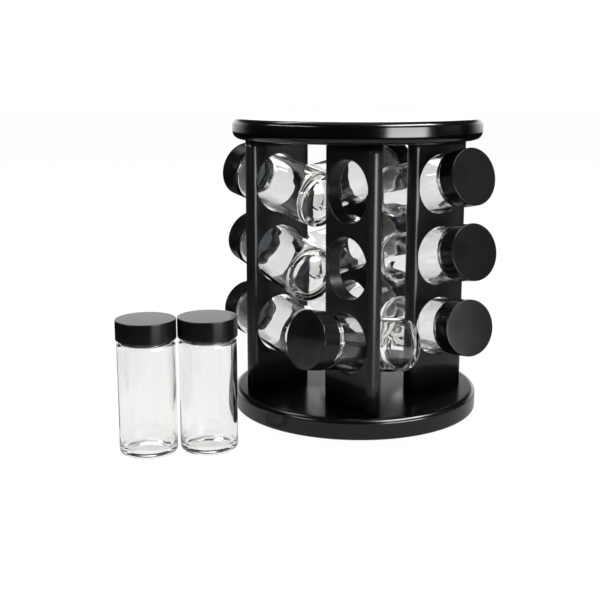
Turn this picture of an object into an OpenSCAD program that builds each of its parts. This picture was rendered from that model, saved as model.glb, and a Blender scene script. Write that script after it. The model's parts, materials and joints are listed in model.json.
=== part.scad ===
// Spice carousel: a turning wooden rack with twelve sockets, and its twelve glass jars.
// Millimetres, +Z up. The origin is on the turning axis, at the surface the rack stands on.
// Four upright boards stand between two discs like the blades of a pinwheel. Ten jars lie
// in the boards' sockets with their caps raised, and two stand beside the rack.

/* [Discs] */
// Diameter of the top and bottom discs
disc_d = 200; // [190:1:210]
// Thickness of each disc
disc_t = 16.5; // [14:0.5:18]
// Rounding of the top disc's upper edge
top_upper_round = 5; // [1:0.5:6]
// Rounding of the top disc's lower edge
top_lower_round = 5; // [2:0.5:9]
// Rounding of the bottom disc's upper edge
bottom_upper_round = 4; // [1:0.5:6]
// Rounding of the bottom disc's lower edge
bottom_lower_round = 2; // [1:0.5:4]

/* [Upright boards] */
// Width of a board
board_w = 58.3; // [56:0.1:60]
// Thickness of a board
board_t = 12.4; // [10:0.1:13]
// Height of a board, from disc to disc
board_h = 203; // [200:1:210]
// Distance from the turning axis to a board's inner face
board_in = 36.4; // [34:0.1:40]
// Distance from the turning axis to a board's inner end
board_start = 19.3; // [17:0.1:21]
// Rounding of a board's upright edges
board_round = 2.2; // [0.5:0.1:4]

/* [Sockets] */
// Radius of a jar socket
socket_r = 23.7; // [23.5:0.1:24.5]
// Rounding of a socket's two rims
socket_round = 1.2; // [0.5:0.1:2]
// Distance between the rows of sockets
row_step = 58.3; // [56:0.1:60]
// Height of the lowest row above the bottom disc
row_low = 50.3; // [46:0.1:54]

/* [Jars] */
// Height of a jar with its cap on
jar_h = 102; // [98:1:106]
// Outer radius of the glass
glass_r = 21.8; // [21:0.1:22]
// Thickness of the glass wall
glass_t = 2.1; // [1.5:0.1:2.6]
// Outer radius of a cap
cap_r = 22.5; // [22:0.1:22.6]
// Height of a cap
cap_h = 15; // [12:0.5:18]
// Outer radius of the glass neck
neck_r = 19.3; // [18.5:0.1:19.5]
// Number of holes in a shaker insert's ring
shaker_holes = 7; // [3:1:8]

/* [Turntable foot] */
// Radius of the foot
foot_r = 70; // [60:1:80]
// Thickness of the foot
foot_t = 4.2; // [3.8:0.1:4.6]
// Thickness of the non-slip pad
pad_t = 1.4; // [1:0.1:1.8]
// Radius of a bearing ball
ball_r = 2; // [1.8:0.1:2]
// Radius of the circle that the balls run on
race_r = 36; // [30:1:40]

/* [Hidden] */
$fn = 96;
over = 1; // how far a cutting solid passes the face it cuts

// Levels, from the table up
bottom_z = 9;
board_z = bottom_z + disc_t;
top_z = board_z + board_h;
foot_z = pad_t;
foot_top = foot_z + foot_t;
row_z = [for (row = [0:2]) board_z + row_low + row_step * (2 - row)];

// Board and sockets, on the board whose outer face looks along -Y
socket_x = board_start + board_w / 2;
socket_y = -(board_in + board_t / 2);

// Dowels: two at each end of a board
dowel_r = 4;
dowel_in_disc = 9;
dowel_in_board = 15.5;
dowel_spread = 21;
dowel_fit = 0.05;
dowel_end_gap = 0.2;

// Jar, measured up its own axis from its base
cap_z = jar_h - cap_h;
cap_top_t = 1.6;
cap_bore_r = 20;
cap_edge = 0.6;
liner_r = 19.7;
liner_t = 1;
liner_gap = 0.05;
liner_z = jar_h - cap_top_t - liner_gap - liner_t;
shaker_gap = 0.2;
shaker_t = 0.85;
lip_z = liner_z - shaker_gap - shaker_t;
heel_round = 3.6;
shoulder_round = glass_r - neck_r;
shoulder_z = cap_z - 3 - shoulder_round;
bore_r = 16.8;
floor_t = 3.4;
inner_r = glass_r - glass_t;
inner_heel = 5;
punt_r = 16.5;
punt_h = 1.1;
punt_arc = (punt_r * punt_r + punt_h * punt_h) / (2 * punt_h);
plug_r = bore_r - 0.02;
plug_t = 1.2;
plug_h = 5.5;
shaker_hole_r = 1.5;
shaker_ring_r = 9.5;

// Turntable: the balls sit in two facing grooves
groove_r = ball_r * 1.06;
ball_gap = 0.08;
groove_depth = 1.3;
ball_z = foot_top - groove_depth + ball_gap + ball_r;
race_plate_z = ball_z + ball_r + ball_gap - groove_depth;
race_plate_in = 2.6;
race_plate_out = 46;
ball_count = floor(360 / (2 * asin((ball_r + 0.03) / race_r)));
pivot_r = 4;
pivot_fit = 0.05;
pivot_head_r = 8;
pivot_head_t = 1.3;
pivot_head_z = foot_z + 0.5;
pivot_thread_r = 2.5;
pivot_tip_z = bottom_z + 11;
recess_r = 9;
recess_top = pivot_head_z + pivot_head_t + 0.3;

// Jars in the rack: name, board (0 faces -Y, then a quarter turn each), row from the top,
// rise of the cap, swing of the cap sideways (degrees), and the cap's reach from mid-board
RACKED = [
    ["a1", 3, 0, 10.8, 4.6, 44.8],
    ["a2", 3, 1, 10.8, -4.6, 45.0],
    ["a3", 3, 2, 3.8, -5.2, 53.8],
    ["b3", 0, 2, 11.6, 1.4, 46.8],
    ["c1", 1, 0, 11.8, -2.2, 44.0],
    ["c2", 1, 1, 10.8, -4.8, 49.5],
    ["c3", 1, 2, 8.6, -8.0, 49.7],
    ["d1", 2, 0, 10.0, 2.0, 46.0],
    ["d2", 2, 1, 9.5, 2.0, 48.0],
    ["d3", 2, 2, 10.5, 1.0, 47.0]
];

// Jars that stand beside the rack: name, x, y
STANDING = [
    ["b1", -18.4, -184.5],
    ["b2", 2.0, -143.8]
];

BOARDS = ["panel_b", "panel_c", "panel_d", "panel_a"];
JAR_NAMES = [for (j = RACKED) j[0], for (j = STANDING) j[0]];

// ---- Profiles, all drawn in the half plane x > 0 and turned about the axis ----

// A quarter of a disc that rounds a corner: sx and sy say which way the corner points.
module corner(x, y, r, sx, sy) {
    intersection() {
        translate([x, y]) circle(r = r);
        translate([sx > 0 ? x : x - r, sy > 0 ? y : y - r]) square(r);
    }
}

// Half section of a round slab with its rim rounded above and below.
module slab_profile(r, t, upper, lower) {
    square([r - max(upper, lower), t]);
    translate([0, lower]) square([r, t - lower - upper]);
    square([r - lower, lower]);
    translate([0, t - upper]) square([r - upper, upper]);
    corner(r - lower, lower, lower, 1, -1);
    corner(r - upper, t - upper, upper, 1, 1);
}

module slab(r, t, upper, lower) {
    rotate_extrude() slab_profile(r, t, upper, lower);
}

// ---- The rack ----

// Puts a child drawn for the board that faces -Y onto board number n.
module on_board(n) {
    rotate([0, 0, 90 * n]) children();
}

// The dowels at both ends of a board, or the holes for them: end_gap is the space left
// at the bottom of each blind hole.
module dowel_set(r, end_gap) {
    for (side = [-1, 1], level = [board_z - dowel_in_disc, top_z - dowel_in_board]) {
        translate([socket_x + side * dowel_spread, socket_y, level + end_gap])
            cylinder(r = r, h = dowel_in_disc + dowel_in_board - 2 * end_gap);
    }
}

module dowel_holes() {
    dowel_set(dowel_r + dowel_fit, 0);
}

// What one socket removes: a straight bore that flares round both rims.
module socket_cut() {
    straight = board_t / 2 - socket_round;
    rotate([90, 0, 0]) rotate_extrude() difference() {
        translate([0, -board_t / 2 - over])
            square([socket_r + socket_round, board_t + 2 * over]);
        translate([socket_r, -straight]) square([2 * socket_round, 2 * straight]);
        for (side = [-1, 1]) {
            translate([socket_r + socket_round, side * straight]) circle(r = socket_round);
        }
    }
}

module board_outline() {
    long = board_w - 2 * board_round;
    thick = board_t - 2 * board_round;
    translate([board_start, -(board_in + board_t)]) {
        translate([board_round, 0]) square([long, board_t]);
        translate([0, board_round]) square([board_w, thick]);
        for (x = [board_round, board_w - board_round], y = [board_round, board_t - board_round]) {
            translate([x, y]) circle(r = board_round);
        }
    }
}

module board(n) {
    color([0.02, 0.02, 0.022]) on_board(n) difference() {
        translate([0, 0, board_z]) linear_extrude(board_h) board_outline();
        for (z = row_z) {
            translate([socket_x, socket_y, z]) socket_cut();
        }
        dowel_holes();
    }
}

module dowels() {
    color([0.78, 0.62, 0.42]) for (n = [0:3]) {
        on_board(n) dowel_set(dowel_r, dowel_end_gap);
    }
}

module bottom_disc() {
    color([0.02, 0.02, 0.022]) difference() {
        translate([0, 0, bottom_z])
            slab(disc_d / 2, disc_t, bottom_upper_round, bottom_lower_round);
        for (n = [0:3]) {
            on_board(n) dowel_holes();
        }
        translate([0, 0, bottom_z - over])
            cylinder(r = pivot_thread_r + pivot_fit, h = pivot_tip_z - bottom_z + 1 + over);
    }
}

module top_disc() {
    color([0.02, 0.02, 0.022]) difference() {
        translate([0, 0, top_z]) slab(disc_d / 2, disc_t, top_upper_round, top_lower_round);
        for (n = [0:3]) {
            on_board(n) dowel_holes();
        }
    }
}

// ---- The turntable foot ----

module foot_pad() {
    color([0.05, 0.05, 0.05]) slab(foot_r - 2, pad_t, 0.3, 0.3);
}

// A ring groove for the balls, cut above or below a face.
module race_groove() {
    rotate_extrude() translate([race_r, 0]) circle(r = groove_r);
}

module foot_disc() {
    color([0.06, 0.06, 0.06]) difference() {
        translate([0, 0, foot_z]) slab(foot_r, foot_t, 1.2, 0.5);
        translate([0, 0, ball_z - ball_r - ball_gap + groove_r]) race_groove();
        translate([0, 0, foot_z - over]) cylinder(r = recess_r, h = recess_top - foot_z + over);
        translate([0, 0, foot_z]) cylinder(r = pivot_r + pivot_fit, h = foot_t + over);
    }
}

module bearing_balls() {
    color([0.7, 0.7, 0.72]) for (i = [0 : ball_count - 1]) {
        rotate([0, 0, 360 * i / ball_count]) translate([race_r, 0, ball_z]) sphere(r = ball_r);
    }
}

module race_plate() {
    color([0.65, 0.66, 0.68]) difference() {
        translate([0, 0, race_plate_z])
            cylinder(r = race_plate_out, h = bottom_z - race_plate_z);
        translate([0, 0, ball_z + ball_r + ball_gap - groove_r]) race_groove();
        translate([0, 0, race_plate_z - over])
            cylinder(r = race_plate_in, h = bottom_z - race_plate_z + 2 * over);
    }
}

// A shoulder screw from below: its shoulder runs in the foot and clamps the race plate.
module pivot_bolt() {
    color([0.6, 0.6, 0.62]) {
        translate([0, 0, pivot_head_z]) cylinder(r = pivot_head_r, h = pivot_head_t);
        translate([0, 0, pivot_head_z]) cylinder(r = pivot_r, h = race_plate_z - pivot_head_z);
        translate([0, 0, pivot_head_z])
            cylinder(r = pivot_thread_r, h = pivot_tip_z - pivot_head_z);
    }
}

// ---- The jars, each drawn upright on its own base ----

module glass_outline() {
    translate([0, heel_round]) square([glass_r, shoulder_z - heel_round]);
    square([glass_r - heel_round, heel_round]);
    corner(glass_r - heel_round, heel_round, heel_round, 1, -1);
    square([neck_r, lip_z]);
    corner(neck_r, shoulder_z, shoulder_round, 1, 1);
}

module glass_hollow() {
    inner_shoulder = inner_r - bore_r;
    translate([0, floor_t + inner_heel])
        square([inner_r, shoulder_z - floor_t - inner_heel]);
    translate([0, floor_t]) square([inner_r - inner_heel, inner_heel]);
    corner(inner_r - inner_heel, floor_t + inner_heel, inner_heel, 1, -1);
    corner(bore_r, shoulder_z, inner_shoulder, 1, 1);
    translate([0, floor_t + inner_heel]) square([bore_r, lip_z]);
}

module glass() {
    color([0.85, 0.9, 0.88, 0.35]) rotate_extrude() difference() {
        glass_outline();
        glass_hollow();
        translate([0, punt_h - punt_arc]) circle(r = punt_arc);
    }
}

// Press-in shaker insert: a flange on the lip, a plug in the neck and a perforated plate.
module shaker() {
    color([0.86, 0.87, 0.87]) difference() {
        union() {
            translate([0, 0, lip_z]) cylinder(r = neck_r - 0.3, h = shaker_t);
            translate([0, 0, lip_z - plug_h]) cylinder(r = plug_r, h = plug_h);
        }
        translate([0, 0, lip_z - plug_h - over])
            cylinder(r = plug_r - plug_t, h = plug_h + over);
        for (i = [0 : shaker_holes - 1]) {
            rotate([0, 0, 360 * i / shaker_holes]) translate([shaker_ring_r, 0, lip_z - over])
                cylinder(r = shaker_hole_r, h = shaker_t + 2 * over);
        }
        translate([0, 0, lip_z - over]) cylinder(r = shaker_hole_r, h = shaker_t + 2 * over);
    }
}

module liner() {
    color([0.9, 0.9, 0.88]) translate([0, 0, liner_z]) cylinder(r = liner_r, h = liner_t);
}

module cap() {
    color([0.03, 0.028, 0.028]) difference() {
        translate([0, 0, cap_z]) slab(cap_r, cap_h, cap_edge, cap_edge);
        translate([0, 0, cap_z - over])
            cylinder(r = cap_bore_r, h = cap_h - cap_top_t + over);
    }
}

// Puts a jar's child where that jar is kept.
module in_place(name) {
    for (j = RACKED) {
        if (j[0] == name) {
            on_board(j[1]) translate([socket_x, socket_y, row_z[j[2]]]) rotate([0, 0, j[4]])
                rotate([90 - j[3], 0, 0]) translate([0, 0, j[5] - jar_h]) children();
        }
    }
    for (j = STANDING) {
        if (j[0] == name) {
            translate([j[1], j[2], 0]) children();
        }
    }
}

foot_pad();
foot_disc();
bearing_balls();
race_plate();
pivot_bolt();
bottom_disc();
dowels();
top_disc();
for (n = [0:3]) {
    board(n);
}
for (name = JAR_NAMES) {
    in_place(name) glass();
    in_place(name) shaker();
    in_place(name) liner();
    in_place(name) cap();
}
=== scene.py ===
# %% [markdown]
# # A turning spice rack with twelve glass jars
#
# This lesson dresses a spice carousel: two round black boards, four upright boards with round
# sockets between them, a low turntable foot, and twelve glass jars with black screw caps. The
# sizes, places and joints were settled in the CAD model, which is loaded first as a fixed frame.
# Every piece made here takes its place from that frame and rides on one of its bodies, so the
# same scene is right when the rack turns, a jar is pulled out or a cap is unscrewed.

# %% Load the fixed frame
import json
import math
import random

import bmesh
import bpy
from mathutils import Matrix, Vector

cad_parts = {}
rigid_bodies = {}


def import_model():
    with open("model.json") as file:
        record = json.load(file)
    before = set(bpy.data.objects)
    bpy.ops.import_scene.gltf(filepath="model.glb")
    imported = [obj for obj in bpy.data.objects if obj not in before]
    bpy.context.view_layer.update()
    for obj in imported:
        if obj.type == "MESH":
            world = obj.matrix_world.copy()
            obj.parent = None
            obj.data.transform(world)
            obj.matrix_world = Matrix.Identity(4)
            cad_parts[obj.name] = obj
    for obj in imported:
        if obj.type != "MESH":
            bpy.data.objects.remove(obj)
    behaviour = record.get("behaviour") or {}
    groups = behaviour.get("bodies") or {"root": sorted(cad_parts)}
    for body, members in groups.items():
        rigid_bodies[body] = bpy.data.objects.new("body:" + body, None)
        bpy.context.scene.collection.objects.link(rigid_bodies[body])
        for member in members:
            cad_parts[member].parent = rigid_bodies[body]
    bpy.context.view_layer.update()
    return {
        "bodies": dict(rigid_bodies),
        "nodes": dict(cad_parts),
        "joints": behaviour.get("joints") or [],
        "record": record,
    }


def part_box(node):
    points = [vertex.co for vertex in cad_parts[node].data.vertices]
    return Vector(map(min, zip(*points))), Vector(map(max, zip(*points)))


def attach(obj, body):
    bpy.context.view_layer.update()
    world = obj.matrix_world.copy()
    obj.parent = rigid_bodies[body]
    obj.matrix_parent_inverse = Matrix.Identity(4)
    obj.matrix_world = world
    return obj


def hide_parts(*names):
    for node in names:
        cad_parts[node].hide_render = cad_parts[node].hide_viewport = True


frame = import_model()
record = frame["record"]
MM = 0.001

# %% [markdown]
# ## The camera
#
# The rack is looked at from a little above its middle, through a fairly long lens, so that its
# upright edges stay nearly parallel. The frame sits a little off the lens axis, like a sheet of
# film slid sideways and down. Blender has a lens shift for exactly this, which keeps the
# perspective true where turning the camera would change it.

# %% Camera
EYE = Vector((0.632, -0.521, 0.2745))
GAZE = Vector((-0.7895, 0.5835, -0.1901)).normalized()
camera = bpy.data.objects.new("camera", bpy.data.cameras.new("camera"))
bpy.context.scene.collection.objects.link(camera)
camera.location = EYE
camera.rotation_euler = GAZE.to_track_quat("-Z", "Y").to_euler()
camera.data.lens = 60.56
camera.data.sensor_width = 36
camera.data.shift_x = -0.0048
camera.data.shift_y = -0.0414
camera.data.clip_start = 0.02
camera.data.clip_end = 30
bpy.context.scene.camera = camera
print("camera is", round(EYE.length, 3), "m from the rack's foot")

# %% [markdown]
# ## Sums for shaders
#
# A finish is a small network of nodes. Written out node by node, a sum such as
# `1 - grain * 0.3` takes a dozen lines and hides what it means. The class `Wire` wraps one output
# of a node and gives it Python's own signs, and each sign adds the Math node it stands for.
# `Finish` is a material being made, and its method `node` adds any node: the settings go in
# first, because some of them decide which sockets the node has, and then the inputs.

# %% Wire and Finish
class Wire:
    """One output socket, which can be used in sums with numbers and other wires."""

    def __init__(self, finish, socket):
        self.finish = finish
        self.socket = socket

    def sum(self, operation, first, second):
        return self.finish.node("ShaderNodeMath", {"operation": operation},
                                {0: first, 1: second})

    def __add__(self, other):
        return self.sum("ADD", self, other)

    def __radd__(self, other):
        return self.sum("ADD", other, self)

    def __sub__(self, other):
        return self.sum("SUBTRACT", self, other)

    def __rsub__(self, other):
        return self.sum("SUBTRACT", other, self)

    def __mul__(self, other):
        return self.sum("MULTIPLY", self, other)

    def __rmul__(self, other):
        return self.sum("MULTIPLY", other, self)

    def between(self, low, high):
        """0 below low, 1 above high, and a smooth step in between."""
        return self.finish.node("ShaderNodeMapRange", {"interpolation_type": "SMOOTHSTEP"},
                                {"Value": self, "From Min": low, "From Max": high})


class Finish:
    """A node tree under construction, for a material or for the world."""

    def __init__(self, owner):
        """owner is the name of a new material, or a world."""
        self.owner = bpy.data.materials.new(owner) if isinstance(owner, str) else owner
        self.owner.use_nodes = True
        self.tree = self.owner.node_tree
        self.tree.nodes.clear()

    def node(self, kind, settings=None, inputs=None, output=0):
        made = self.tree.nodes.new(kind)
        for name, value in (settings or {}).items():
            if name == "stops":
                self.set_stops(made.color_ramp, value)
            else:
                setattr(made, name, value)
        for name, value in (inputs or {}).items():
            if isinstance(value, Wire):
                self.tree.links.new(value.socket, made.inputs[name])
            else:
                made.inputs[name].default_value = value
        return Wire(self, made.outputs[output]) if len(made.outputs) else made

    def set_stops(self, ramp, stops):
        for place, colour in stops[2:]:
            ramp.elements.new(place)
        for element, (place, colour) in zip(ramp.elements, stops):
            element.position = place
            element.color = colour

    def place(self, stretch=(1, 1, 1)):
        """Where a point is on its piece, in metres, stretched along each axis."""
        where = self.node("ShaderNodeTexCoord", output="Object")
        return self.node("ShaderNodeVectorMath", {"operation": "MULTIPLY"},
                         {0: where, 1: stretch})

    def noise(self, per_metre, detail=2.0, stretch=(1, 1, 1), roughness=0.5):
        return self.node("ShaderNodeTexNoise", {"noise_dimensions": "3D"},
                         {"Vector": self.place(stretch), "Scale": per_metre,
                          "Detail": detail, "Roughness": roughness})

    def colour(self, share, low, high):
        """Goes from one colour to another as share goes from 0 to 1."""
        return self.node("ShaderNodeMix", {"data_type": "RGBA"},
                         {"Factor": share, "A": (*low, 1), "B": (*high, 1)}, output="Result")

    def bump(self, height, depth, strength=1.0):
        """Relief: height runs from 0 to 1, and depth is its real depth in metres."""
        return self.node("ShaderNodeBump", {},
                         {"Height": height, "Distance": depth, "Strength": strength})

    def surface(self, **values):
        """Ends the material with one Principled shader. Names are its sockets' with _ for space."""
        shader = self.node("ShaderNodeBsdfPrincipled", {},
                           {name.replace("_", " "): value for name, value in values.items()})
        self.node("ShaderNodeOutputMaterial", {}, {"Surface": shader})
        return self.owner


print("shader sums are ready")

# %% [markdown]
# ## Black lacquer on wood
#
# The discs and boards are sprayed with black lacquer. It isn't a mirror: the spray leaves a fine
# orange peel, the grain of the wood still lifts the film a little along its length, and hands
# leave faint patches that are a touch less glossy. All three are noises at their real scale. The
# grain noise is squeezed along one axis, so it draws out into lines, upright on the boards and
# sideways on the discs. The discs were rubbed down and shine; the boards are satin and grainier,
# which spreads the light along their edges into a broad soft band.

# %% Lacquer
def lacquer(name, grain, depth_of_black, roughness, shine, relief):
    """Black lacquer. grain is the stretch that draws the noise out along the wood."""
    finish = Finish(name)
    lines = finish.noise(620, 3, grain, 0.6)
    peel = finish.noise(900, 1)
    patches = finish.noise(14, 3)
    height = lines * 0.04 + peel * 0.96
    deepest = (depth_of_black, depth_of_black, depth_of_black * 1.05)
    palest = tuple(value * 1.7 for value in deepest)
    return finish.surface(
        Base_Color=finish.colour(lines.between(0.35, 0.7), deepest, palest),
        Roughness=patches.between(0.3, 0.75) * 0.05 + lines * 0.02 + roughness,
        Specular_IOR_Level=shine,
        Normal=finish.bump(height, relief, 0.5),
    )


board_lacquer = lacquer("black_lacquer_boards", grain=(1, 1, 0.06), depth_of_black=0.0050,
                        roughness=0.27, shine=0.31, relief=0.030 * MM)
disc_lacquer = lacquer("black_lacquer_discs", grain=(0.06, 1, 1), depth_of_black=0.0004,
                       roughness=0.135, shine=0.42, relief=0.012 * MM)
print("lacquers:", board_lacquer.name, disc_lacquer.name)

# %% [markdown]
# ## Plastics
#
# The caps are moulded in black plastic with a satin skin: a very fine even texture from the
# mould, and slow changes of gloss where the plastic cooled at different speeds. The foot is a
# coarser, matt version of it. The shaker inserts are thin and pale and let some light through,
# which subsurface scattering gives without needing two sides. The liner is a foamed sheet, and
# its closed cells show as a shallow pitting.

# %% Plastics
def moulded(name, dark, light, smoothest, spread, texture_per_metre, texture_depth, **more):
    """Moulded plastic: smoothest is the lowest roughness, and spread is how far it wanders."""
    finish = Finish(name)
    cooling = finish.noise(40, 3)
    texture = finish.noise(texture_per_metre, 2)
    return finish.surface(
        Base_Color=finish.colour(cooling.between(0.3, 0.7), dark, light),
        Roughness=cooling * spread + smoothest,
        Normal=finish.bump(texture, texture_depth, 0.6),
        **more,
    )


cap_plastic = moulded("cap_black", (0.0036, 0.0031, 0.0027), (0.0056, 0.0049, 0.0043),
                      0.15, 0.10, 2600, 0.006 * MM, Specular_IOR_Level=0.26)
foot_plastic = moulded("foot_plastic", (0.016, 0.016, 0.016), (0.024, 0.024, 0.024),
                       0.48, 0.14, 1500, 0.05 * MM)
pad_rubber = moulded("pad_rubber", (0.018, 0.018, 0.018), (0.03, 0.03, 0.03),
                     0.72, 0.15, 1100, 0.08 * MM)
shaker_plastic = moulded("shaker_plastic", (0.66, 0.68, 0.68), (0.74, 0.75, 0.75),
                         0.34, 0.12, 1800, 0.02 * MM,
                         Subsurface_Weight=0.3, Subsurface_Scale=1.5 * MM)


def foam():
    finish = Finish("liner_foam")
    cells = finish.node("ShaderNodeTexVoronoi", {"feature": "F1"},
                        {"Vector": finish.place(), "Scale": 1400})
    return finish.surface(
        Base_Color=finish.colour(cells.between(0.1, 0.6), (0.74, 0.74, 0.72), (0.86, 0.86, 0.84)),
        Roughness=cells * 0.1 + 0.6,
        Normal=finish.bump(cells, 0.06 * MM, 0.6),
    )


liner_foam = foam()
print("plastics:", cap_plastic.name, foot_plastic.name, pad_rubber.name, shaker_plastic.name)

# %% [markdown]
# ## Steel and bare wood inside
#
# Nobody sees the turntable unless the rack is lifted, but the parts are real. The balls are
# polished, the race plate is pressed zinc-plated sheet with a crystalline bloom, the bolt has
# the rings that a lathe leaves, and the dowels are bare beech with short dark flecks.

# %% Steel and beech
def steel(name, tint, smoothest, grain, per_metre, depth):
    """Bare metal, with marks that are drawn out along its grain."""
    finish = Finish(name)
    marks = finish.noise(per_metre, 4, grain)
    dark = tuple(value * 0.86 for value in tint)
    return finish.surface(
        Base_Color=finish.colour(marks.between(0.3, 0.7), dark, tint),
        Metallic=1.0,
        Roughness=marks * 0.12 + smoothest,
        Normal=finish.bump(marks, depth, 0.5),
    )


def beech():
    finish = Finish("beech")
    grain = finish.noise(260, 4, (1, 1, 0.08))
    flecks = finish.noise(900, 1, (1, 1, 0.25))
    ground = finish.colour(grain.between(0.3, 0.7), (0.55, 0.38, 0.22), (0.68, 0.50, 0.32))
    return finish.surface(
        Base_Color=finish.node("ShaderNodeMix", {"data_type": "RGBA"},
                               {"Factor": flecks.between(0.62, 0.7), "A": ground,
                                "B": (0.36, 0.22, 0.12, 1)}, output="Result"),
        Roughness=grain * 0.15 + 0.55,
        Normal=finish.bump(grain, 0.05 * MM, 0.6),
    )


ball_steel = steel("bearing_steel", (0.72, 0.72, 0.74), 0.06, (1, 1, 1), 700, 0.001 * MM)
plate_steel = steel("plate_steel", (0.62, 0.63, 0.65), 0.3, (1, 1, 1), 240, 0.01 * MM)
bolt_steel = steel("bolt_steel", (0.6, 0.6, 0.62), 0.26, (0.1, 0.1, 1), 1600, 0.01 * MM)
bare_beech = beech()
print("inside:", ball_steel.name, plate_steel.name, bolt_steel.name, bare_beech.name)

# %% [markdown]
# ## Pressed glass
#
# A cheap jar is pressed or blown in an iron mould, so its wall is never quite even, and that is
# what makes it look like glass: the background breaks up into soft upright streaks. The slow
# unevenness of the wall is modelled in the mesh further down, where it bends light properly.
# Here only the fine ripple of the skin is added, together with the faint green of iron.

# %% Glass
def pressed_glass():
    finish = Finish("clear_glass")
    ripple = finish.noise(95, 2, (1, 1, 0.18))
    return finish.surface(
        Base_Color=finish.colour(ripple.between(0.3, 0.7), (0.958, 0.966, 0.950),
                                 (0.988, 0.992, 0.984)),
        Roughness=ripple * 0.012,
        IOR=1.5,
        Transmission_Weight=1.0,
        Normal=finish.bump(ripple, 0.20 * MM, 0.5),
    )


clear_glass = pressed_glass()
print("glass:", clear_glass.name)

# %% [markdown]
# ## Pieces turned about an axis
#
# Discs, jars, caps and the pad are all round. Each is drawn as half of its section and turned
# about the upright axis, as on a lathe. `arc` draws the round corners, and `turned` makes the
# rings of points. Its last argument may bend a point as it is made, which is how a thread or an
# uneven wall gets onto a shape that is otherwise perfectly round.

# %% The lathe
def arc(x, z, radius, start, end, steps=8):
    """Points of a round corner about (x, z), between two angles in degrees."""
    turns = [math.radians(start + (end - start) * i / steps) for i in range(steps + 1)]
    return [(x + radius * math.cos(turn), z + radius * math.sin(turn)) for turn in turns]


def finished(mesh, name, material):
    """Turns a bmesh into an object, smooth, with its faces turned outwards."""
    bmesh.ops.recalc_face_normals(mesh, faces=mesh.faces)
    for face in mesh.faces:
        face.smooth = True
    data = bpy.data.meshes.new(name)
    mesh.to_mesh(data)
    mesh.free()
    data.materials.append(material)
    piece = bpy.data.objects.new(name, data)
    bpy.context.scene.collection.objects.link(piece)
    return piece


def turned(name, outline, material, sides=96, bend=None):
    """Turns an outline of (radius, height) in millimetres. Radius 0 is a point on the axis."""
    mesh = bmesh.new()
    rings = []
    for radius, height in outline:
        ring = []
        for i in range(sides if radius else 1):
            turn = math.tau * i / sides
            out, up = bend(radius, height, turn) if bend else (radius, height)
            ring.append(mesh.verts.new((out * MM * math.cos(turn), out * MM * math.sin(turn),
                                        up * MM)))
        rings.append(ring)
    if outline[0][0] and outline[-1][0]:
        rings.append(rings[0])
    for one, other in zip(rings, rings[1:]):
        for i in range(sides):
            j = i + 1
            corners = [one[i % len(one)], one[j % len(one)],
                       other[j % len(other)], other[i % len(other)]]
            mesh.faces.new(list(dict.fromkeys(corners)))
    return finished(mesh, name, material)


def even_shading(piece):
    """Large flat faces keep their shading flat up to the start of a rounded edge."""
    modifier = piece.modifiers.new("even shading", "WEIGHTED_NORMAL")
    modifier.weight = 100
    modifier.keep_sharp = True


def put(piece, body, slot, *nodes):
    """Hands a finished piece to the frame: its body and the nodes it stands for. Its slot is not
    used.
    """
    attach(piece, body)
    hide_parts(*nodes)


def measure(node):
    """Half the width of a node that stands upright, its bottom and its top, in millimetres."""
    low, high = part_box(node)
    return (high.x - low.x) / 2 / MM, low.z / MM, high.z / MM


print("a disc measures", [round(value, 1) for value in measure("top_disc")])

# %% [markdown]
# ## The two discs
#
# Each disc is a board cut round, with its edges rounded by a router before the lacquer went on.
# The top disc is rounder below than above, and the bottom disc is rounder above than below. The
# flat faces carry a few extra rings, which cost nothing and keep the shading even.

# %% Discs
def disc(node, upper, lower):
    """A disc with its upper and lower edges rounded by so many millimetres."""
    radius, bottom, top = measure(node)
    outline = [(0, bottom), (radius * 0.5, bottom), (radius - lower - 2, bottom)]
    outline += arc(radius - lower, bottom + lower, lower, -90, 0, 10)
    outline += arc(radius - upper, top - upper, upper, 0, 90, 10)
    outline += [(radius - upper - 2, top), (radius * 0.5, top), (0, top)]
    piece = turned(node + "_lacquered", outline, disc_lacquer, 256)
    even_shading(piece)
    put(piece, "carousel", "black_lacquer", node)
    return piece


disc("top_disc", upper=4, lower=6.5)
disc("bottom_disc", upper=4, lower=2)
print("discs made, top at", round(measure("top_disc")[2], 1), "mm")

# %% [markdown]
# ## The four boards
#
# A board has three round sockets, and each socket's rims are eased so that a jar slides in
# without catching. A boolean cut would leave long thin faces that shade badly, so the board's
# faces are laid out one by one. Each socket gets a square cell of its own: rays run from the circle
# to the square, and neighbouring cells share their border. The border points then run round the
# upright edges to the other face, so the whole board is one closed skin of four-sided faces.

# %% One board
board_low, board_high = (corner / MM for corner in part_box("panel_b"))
socket_mounts = [mount for mount in record["mounts"] if mount["name"].startswith("socket_")]
socket_spots = [Vector(mount["pos_m"]) / MM for mount in socket_mounts]
SOCKET_R = 23.7
RIM_ROUND = 1.2
EDGE_ROUND = 5.2
RAYS = 64
socket_middle = (board_low.x + board_high.x) / 2
row_step = abs(socket_spots[0].z - socket_spots[1].z)
highest_row = max(spot.z for spot in socket_spots)
rows = [highest_row - row_step * row for row in range(3)]
print("socket rows at", [round(row, 1) for row in rows], "mm")


class Skin:
    """A mesh whose points are found again by their place, so that neighbours share them."""

    def __init__(self):
        self.mesh = bmesh.new()
        self.points = {}

    def point(self, x, y, z):
        key = (round(x, 3), round(y, 3), round(z, 3))
        if key not in self.points:
            self.points[key] = self.mesh.verts.new(Vector(key) * MM)
        return self.points[key]

    def sheet(self, lines, closed=False):
        """Faces between each line of places and the next."""
        for line, following in zip(lines, lines[1:]):
            last = len(line) if closed else len(line) - 1
            for i in range(last):
                j = (i + 1) % len(line)
                self.mesh.faces.new([self.point(*place) for place in
                                     (line[i], line[j], following[j], following[i])])


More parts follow.
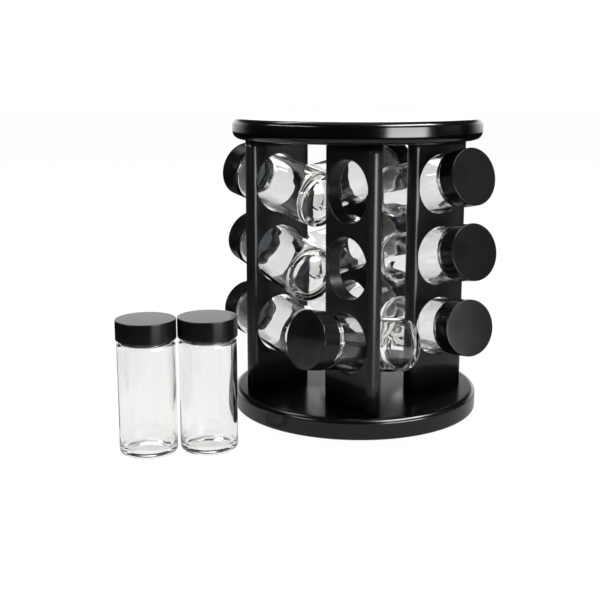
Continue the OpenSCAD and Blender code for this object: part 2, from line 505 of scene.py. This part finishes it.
def through(front, back, round_by, steps=6):
    """How a rounded edge runs from the front face to the back: (distance left, depth)."""
    ease = [math.radians(90 * i / steps) for i in range(steps + 1)]
    near = [(round_by * (1 - math.sin(a)), front + round_by * (1 - math.cos(a))) for a in ease]
    far = [(gap, back - (depth - front)) for gap, depth in reversed(near)]
    return near + far


def board_skin():
    """The closed skin of the front board, with its three sockets."""
    skin = Skin()
    front, back = board_low.y, board_high.y
    foot, head = board_low.z, board_high.z
    flat = (board_high.x - board_low.x) / 2 - EDGE_ROUND
    tall = row_step / 2
    turns = [math.tau * i / RAYS for i in range(RAYS)]
    for row in rows:
        circle = [(math.cos(turn), math.sin(turn)) for turn in turns]
        bore = [[(socket_middle + (SOCKET_R + gap) * c, depth, row + (SOCKET_R + gap) * s)
                 for c, s in circle] for gap, depth in through(front, back, RIM_ROUND)]
        skin.sheet(bore, closed=True)
        for face, rim in ((front, bore[0]), (back, bore[-1])):
            square = []
            for c, s in circle:
                reach = 1 / max(abs(c), abs(s))
                square.append((socket_middle + flat * c * reach, face, row + tall * s * reach))
            skin.sheet([rim, square], closed=True)
    across = sorted({key[0] for key in skin.points if abs(key[2] - rows[0] - tall) < 0.01})
    levels = sorted({key[2] for key in skin.points if abs(key[0] - across[0]) < 0.01})
    for face in (front, back):
        for ends in ((foot, levels[0]), (levels[-1], head)):
            skin.sheet([[(x, face, z) for x in across] for z in ends])
    levels = [foot, *levels, head]
    edge = through(front, back, EDGE_ROUND)
    outline = []
    for side in (1, -1):
        run = [(socket_middle + side * (flat + EDGE_ROUND - gap), depth) for gap, depth in edge]
        skin.sheet([[(x, y, z) for x, y in run] for z in levels])
        outline += [(x, front) for x in across[1:-1]] if side == 1 else []
        outline += run if side == 1 else [(x, back) for x in across[-2:0:-1]] + run[::-1]
    for z in (foot, head):
        skin.mesh.faces.new([skin.point(x, y, z) for x, y in outline])
    return skin.mesh


BOARDS = ["panel_b", "panel_c", "panel_d", "panel_a"]
for quarter, node in enumerate(BOARDS):
    board = finished(board_skin(), node + "_lacquered", board_lacquer)
    board.matrix_world = Matrix.Rotation(math.radians(90 * quarter), 4, "Z")
    even_shading(board)
    put(board, "carousel", "black_lacquer", node)
print("a board has", len(board.data.polygons), "faces")

# %% [markdown]
# ## The turntable foot
#
# The foot hides in the shade of the bottom disc. Its parts come straight from the CAD model,
# whose shapes are already right, and only take a finish. The rubber pad underneath is turned
# anew, because the real one is moulded with rings that grip the table.

# %% Foot
def dress(node, material):
    """Gives a node of the frame its finish, and leaves its shape alone."""
    materials = frame["nodes"][node].data.materials
    materials.clear()
    materials.append(material)


for node, material in (("foot_disc", foot_plastic), ("bearing_balls", ball_steel),
                       ("race_plate", plate_steel), ("pivot_bolt", bolt_steel),
                       ("dowels", bare_beech)):
    dress(node, material)

pad_radius, pad_bottom, pad_top = measure("foot_pad")
RING_STEP = 3.0
RING_DEPTH = 0.5
rings_of_pad = [(0, pad_bottom + RING_DEPTH)]
ring_at = 6.0
while ring_at < pad_radius - RING_STEP:
    for share, depth in ((0.0, RING_DEPTH), (0.15, 0.0), (0.5, 0.0), (0.65, RING_DEPTH)):
        rings_of_pad.append((ring_at + share * RING_STEP, pad_bottom + depth))
    ring_at += RING_STEP
rings_of_pad += arc(pad_radius - 0.3, pad_bottom + 0.3, 0.3, -90, 0, 4)
rings_of_pad += arc(pad_radius - 0.3, pad_top - 0.3, 0.3, 0, 90, 4)
rings_of_pad.append((0, pad_top))
pad = turned("foot_pad_ribbed", rings_of_pad, pad_rubber, 128)
even_shading(pad)
put(pad, "foot", "pad_rubber", "foot_pad")
print("the pad has a ring every", RING_STEP, "mm")

# %% [markdown]
# ## The jars
#
# All twelve jars are the same, so one is measured, the one that stands upright, and the others
# are made alike. The frame says where each jar is: the hinge of its cap lies on the jar's axis,
# a known height above its base. The glass is one closed skin, outside and inside, because light
# only bends correctly through a wall that has two surfaces. Its neck carries a raised thread of
# 3.2 mm pitch, the same as the joint of the cap, so the cap's own thread follows it exactly.

# %% Jar sizes
glass_r, jar_foot, lip = measure("glass_b2")
cap_r, cap_foot, cap_top = measure("cap_b2")
HEEL = 3.6
NECK_R = 18.9
SHOULDER_Z = cap_foot - 5.5
SHELF_Z = cap_foot - 3.0
SHELF_EDGE = 1.7
SHELF_FILLET = 0.8
WALL = 2.1
BORE_R = 16.8
FLOOR = 3.4
INNER_HEEL = 5.0
PUNT_R = 16.5
PUNT = 1.1
PITCH = 3.2
THREAD_TURNS = 1.25
THREAD_START = 2.0
HALF_RIDGE = 0.75
RUN_OUT = 0.06
GLASS_THREAD = 0.8
CAP_THREAD = 0.7
CAP_BORE = 20.0
CAP_TOP = 1.6
CAP_EDGE = 0.6
HINGE_HEIGHT = 90.0
inner_r = glass_r - WALL
print("jar:", round(glass_r * 2, 1), "mm wide,", round(cap_top - jar_foot, 1), "mm high")


def ridge(height, turn, start):
    """How much of a helical ridge is at a place: 0 beside it and 1 on its crest."""
    best = 0.0
    for lap in range(3):
        along = turn / math.tau + lap
        away = abs(height - start - PITCH * along) / HALF_RIDGE
        ends = max(0.0, min(1.0, along / RUN_OUT, (THREAD_TURNS - along) / RUN_OUT))
        best = max(best, max(0.0, 1 - away * away) * ends)
    return best


def steps_between(low, high, step):
    """Evenly spaced places from low to high, about one step apart."""
    count = max(1, round((high - low) / step))
    return [low + (high - low) * i / count for i in range(count + 1)]


# %% One glass
def glass(name, draw):
    """A jar's glass. draw is its own run of chance, which makes its wall uneven."""
    outer_end = SHELF_Z + SHELF_FILLET
    waves = [(lobes, draw.uniform(0.0, math.tau), draw.uniform(0.05, 0.15),
              draw.uniform(-0.9, 0.9)) for lobes in (2, 3, 5, 7, 11)]
    outline = [(PUNT_R * i / 6, PUNT * (1 - (i / 6) ** 2)) for i in range(7)]
    outline += arc(glass_r - HEEL, HEEL, HEEL, -90, 0)
    outline += [(glass_r, z) for z in steps_between(HEEL, SHELF_Z - SHELF_EDGE, 4)[1:-1]]
    outline += arc(glass_r - SHELF_EDGE, SHELF_Z - SHELF_EDGE, SHELF_EDGE, 0, 90)
    outline += arc(NECK_R + SHELF_FILLET, outer_end, SHELF_FILLET, -90, -180, 5)
    outline += [(NECK_R, z) for z in steps_between(outer_end, lip - 0.6, 0.4)[1:]]
    outline += arc(NECK_R - 0.6, lip - 0.6, 0.6, 0, 90, 4)[1:]
    outline += arc(BORE_R + 0.6, lip - 0.6, 0.6, 90, 180, 4)
    outline += arc(BORE_R, SHOULDER_Z, inner_r - BORE_R, 90, 0)
    outline += [(inner_r, z) for z in steps_between(FLOOR + INNER_HEEL, SHOULDER_Z, 4)[-2:0:-1]]
    outline += arc(inner_r - INNER_HEEL, FLOOR + INNER_HEEL, INNER_HEEL, 0, -90)
    outline += [(inner_r - INNER_HEEL - 5, FLOOR), (5, FLOOR), (0, FLOOR)]

    def bend(radius, height, turn):
        if radius == NECK_R and height > outer_end + 0.1:
            radius += GLASS_THREAD * ridge(height, turn, cap_foot + THREAD_START)
        elif radius == inner_r:
            share = math.sin(math.pi * (height - FLOOR) / (SHOULDER_Z - FLOOR))
            radius += share * sum(size * math.sin(lobes * turn + at + lean * height / 20)
                                  for lobes, at, size, lean in waves)
        return radius, height

    return turned(name, outline, clear_glass, 96, bend)


# %% One cap
def cap(name):
    """A cap, with a thread inside that runs half a pitch away from the glass's."""
    roof = cap_top - CAP_TOP
    outline = [(0, cap_top), (cap_r * 0.5, cap_top), (cap_r - CAP_EDGE - 1, cap_top)]
    outline += arc(cap_r - CAP_EDGE, cap_top - CAP_EDGE, CAP_EDGE, 90, 0, 6)
    outline += arc(cap_r - CAP_EDGE, cap_foot + CAP_EDGE, CAP_EDGE, 0, -90, 6)
    outline += arc(CAP_BORE + 0.4, cap_foot + 0.4, 0.4, -90, -180, 4)
    outline += [(CAP_BORE, z) for z in steps_between(cap_foot + 0.4, roof - 0.5, 0.4)[1:]]
    outline += [(CAP_BORE - 0.5, roof), (0, roof)]

    def bend(radius, height, turn):
        if radius == CAP_BORE and height < roof - 1:
            radius -= CAP_THREAD * ridge(height, turn, cap_foot + THREAD_START + PITCH / 2)
        return radius, height

    piece = turned(name, outline, cap_plastic, 96, bend)
    even_shading(piece)
    return piece


# %% [markdown]
# Each jar is placed with its axis on its hinge's axis. A jar dropped into a socket lands at any
# angle about its own axis, so the points are spun by a chance angle. The spin is put into the
# points, and cap and glass share it, which keeps the two threads in step.

# %% Twelve jars in place
hinges = {joint["child"]: joint for joint in frame["joints"] if joint["type"] == "hinge"}
jar_names = sorted(body[len("jar_"):] for body in frame["bodies"] if body.startswith("jar_"))
for number, jar in enumerate(jar_names):
    draw = random.Random(1700 + number)
    hinge = hinges["lid_" + jar]
    axis = Vector(hinge["axis"]).normalized()
    base = Vector(hinge["pos_m"]) - axis * HINGE_HEIGHT * MM
    level = Vector((0, 0, 1)).cross(axis)
    level = level.normalized() if level.length > 0.01 else Vector((1, 0, 0))
    turned_to = Matrix((level, axis.cross(level), axis)).transposed().to_4x4()
    spin = Matrix.Rotation(draw.uniform(0, math.tau), 4, "Z")
    for made, body, slot, node in ((glass("glass_" + jar + "_pressed", draw), "jar_" + jar,
                                    "clear_glass", "glass_" + jar),
                                   (cap("cap_" + jar + "_moulded"), "lid_" + jar,
                                    "cap_black", "cap_" + jar)):
        made.data.transform(spin)
        made.matrix_world = Matrix.Translation(base) @ turned_to
        put(made, body, slot, node)
    dress("shaker_" + jar, shaker_plastic)
    dress("liner_" + jar, liner_foam)
print(len(jar_names), "jars:", " ".join(jar_names))

# %% [markdown]
# ## The studio
#
# A black glossy object is lit by what it reflects, so the studio is mostly a set of bright
# shapes in the right directions. The background is white and stays white behind glass. The
# sides are kept dark, which leaves the flat boards black, and softboxes draw the highlights
# along the rounded edges. Directions are given from where the camera looks, positive to the
# right.

# %% World
forward = Vector((GAZE.x, GAZE.y, 0)).normalized()
BACKDROP = 0.94
BACKDROP_IN_GLOSS = 1.9
DARK_SIDES = 0.035
DARKEST = 0.012


def studio_world():
    """White where the camera looks, dark at the sides and above, and plain white to the camera."""
    world = bpy.data.worlds.new("studio")
    sky = Finish(world)
    toward = sky.node("ShaderNodeTexCoord", output="Generated")
    ahead = sky.node("ShaderNodeVectorMath", {"operation": "DOT_PRODUCT"},
                     {0: toward, 1: forward}, output="Value")
    split = sky.node("ShaderNodeSeparateXYZ", {}, {"Vector": toward}, output="Z")
    behind = ahead.between(0.45, 0.8) * (1 - split.between(0.17, 0.34))
    below = 1 - split.between(-0.10, 0.0)
    ambient = (1 - below) * DARK_SIDES + DARKEST
    gloss = sky.node("ShaderNodeLightPath", output="Is Glossy Ray")
    seen = sky.node("ShaderNodeLightPath", output="Is Camera Ray")
    white = gloss * (BACKDROP_IN_GLOSS - BACKDROP) + BACKDROP
    strength = behind * (1 - below) * white + ambient
    final = strength * (1 - seen) + seen
    light = sky.node("ShaderNodeBackground", {}, {"Color": (1, 1, 1, 1), "Strength": final})
    sky.node("ShaderNodeOutputWorld", {}, {"Surface": light})
    return world


bpy.context.scene.world = studio_world()
print("world: white behind the rack, dark at its sides")

# %% [markdown]
# The floor glows by itself, so it stays as white as the background. Light that comes through
# the glass meets a slightly dimmer light table in its place, which gives the jars some tone.
# Glossy rays see a smaller and dimmer card, because a table that shone in every polished face
# would turn the boards grey.

# %% Floor
def glowing(name, strength):
    """Paper lit from behind, with a faint tooth."""
    finish = Finish(name)
    tooth = finish.noise(180, 2)
    return finish.surface(
        Base_Color=finish.colour(tooth, (0.04,) * 3, (0.06,) * 3),
        Roughness=0.9,
        Specular_IOR_Level=0.0,
        Emission_Color=(1, 1, 1, 1),
        Emission_Strength=strength,
    )


def flat_sheet(name, corners, material):
    """A sheet of one face, which belongs to the stage and not to the object."""
    mesh = bmesh.new()
    mesh.faces.new([mesh.verts.new(corner) for corner in corners])
    piece = finished(mesh, name, material)
    return piece


FLOOR_R = 9.0
CARD_R = 0.38
FLOOR_DROP = 0.05 * MM


def lay(name, radius, layer, strength, seen_by):
    """A round glowing sheet under the rack, seen only by the kinds of ray that are named."""
    turns = [math.tau * i / 96 for i in range(96)]
    rim = [(radius * math.cos(turn), radius * math.sin(turn), -FLOOR_DROP * layer)
           for turn in turns]
    sheet = flat_sheet(name, rim, glowing(name + "_paper", strength))
    for kind in ("camera", "diffuse", "glossy", "transmission", "shadow", "volume_scatter"):
        setattr(sheet, "visible_" + kind, kind in seen_by)
    return sheet


lay("floor", FLOOR_R, 1, 0.985, ("camera",))
lay("light_table", FLOOR_R, 2, 0.88, ("diffuse", "transmission", "shadow"))
lay("card", CARD_R, 3, 0.60, ("glossy",))
print("floor, light table and card are down")

# %% Softboxes
MIDDLE = Vector((0, -0.02, 0.12))


def softbox(name, across, up, away, width, height, radiance):
    """A soft light in a direction given in degrees, as seen from the middle of the rack."""
    side = Matrix.Rotation(math.radians(-across), 3, "Z") @ forward
    direction = side * math.cos(math.radians(up)) + Vector((0, 0, math.sin(math.radians(up))))
    lamp = bpy.data.lights.new(name, "AREA")
    lamp.shape = "RECTANGLE"
    lamp.size = width
    lamp.size_y = height
    lamp.energy = radiance * math.pi * width * height
    box = bpy.data.objects.new(name, lamp)
    bpy.context.scene.collection.objects.link(box)
    box.location = MIDDLE + direction * away
    box.rotation_euler = (-direction).to_track_quat("-Z", "Y").to_euler()
    box.visible_camera = False
    return box


softbox("left_strip", -115, 24, 1.5, 1.2, 0.11, 24.0)
softbox("left_high", -45, 58, 1.5, 0.9, 0.24, 7.0)
softbox("right_low", 138, -3, 1.5, 1.0, 0.44, 17.0)
softbox("right_high", 125, 47, 1.5, 1.1, 0.50, 30.0)
softbox("right_fill", 92, 9, 1.6, 0.7, 0.45, 0.3)
softbox("overhead", 0, 89, 1.5, 1.2, 1.2, 0.6)
print("six softboxes are up")

# %% [markdown]
# ## Camera response
#
# The plain response keeps white white and black black, which suits an object on plain white.
# Glass needs many bounces, because a ray that passes two jars meets eight surfaces.

# %% Response
scene = bpy.context.scene
scene.view_settings.view_transform = "Standard"
scene.cycles.max_bounces = 24
scene.cycles.transmission_bounces = 24
scene.cycles.glossy_bounces = 8
scene.cycles.transparent_max_bounces = 16
scene.cycles.sample_clamp_indirect = 6.0
scene.cycles.use_denoising = True
print("bounces:", scene.cycles.max_bounces)
